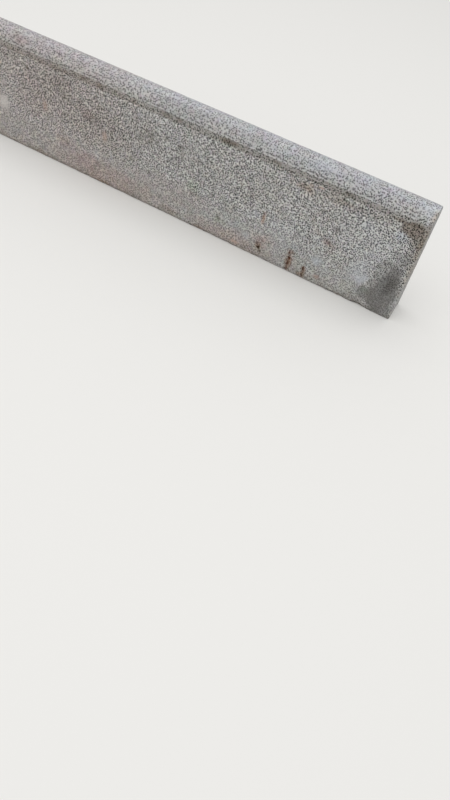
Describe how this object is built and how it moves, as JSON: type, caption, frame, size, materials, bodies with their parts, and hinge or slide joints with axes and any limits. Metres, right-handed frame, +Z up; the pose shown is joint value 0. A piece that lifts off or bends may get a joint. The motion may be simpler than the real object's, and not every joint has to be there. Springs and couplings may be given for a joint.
{
  "type": "concrete kerb stone",
  "caption": "Precast concrete edging kerb: a long thin bar with a flat foot, square butt ends, plain faces and a half-round top, for the edges of paths and lawns.",
  "frame": {"origin": "centre of the foot, on the plane that the kerb stands on", "axes": "+X along the kerb, +Y from the show face through to the smooth back, +Z up to the round top"},
  "size_m": [0.915, 0.05, 0.1999],
  "materials": {
    "concrete": "matt, speckled"
  },
  "bodies": {
    "root": {"kerb_stone": "concrete"}
  },
  "joints": []
}
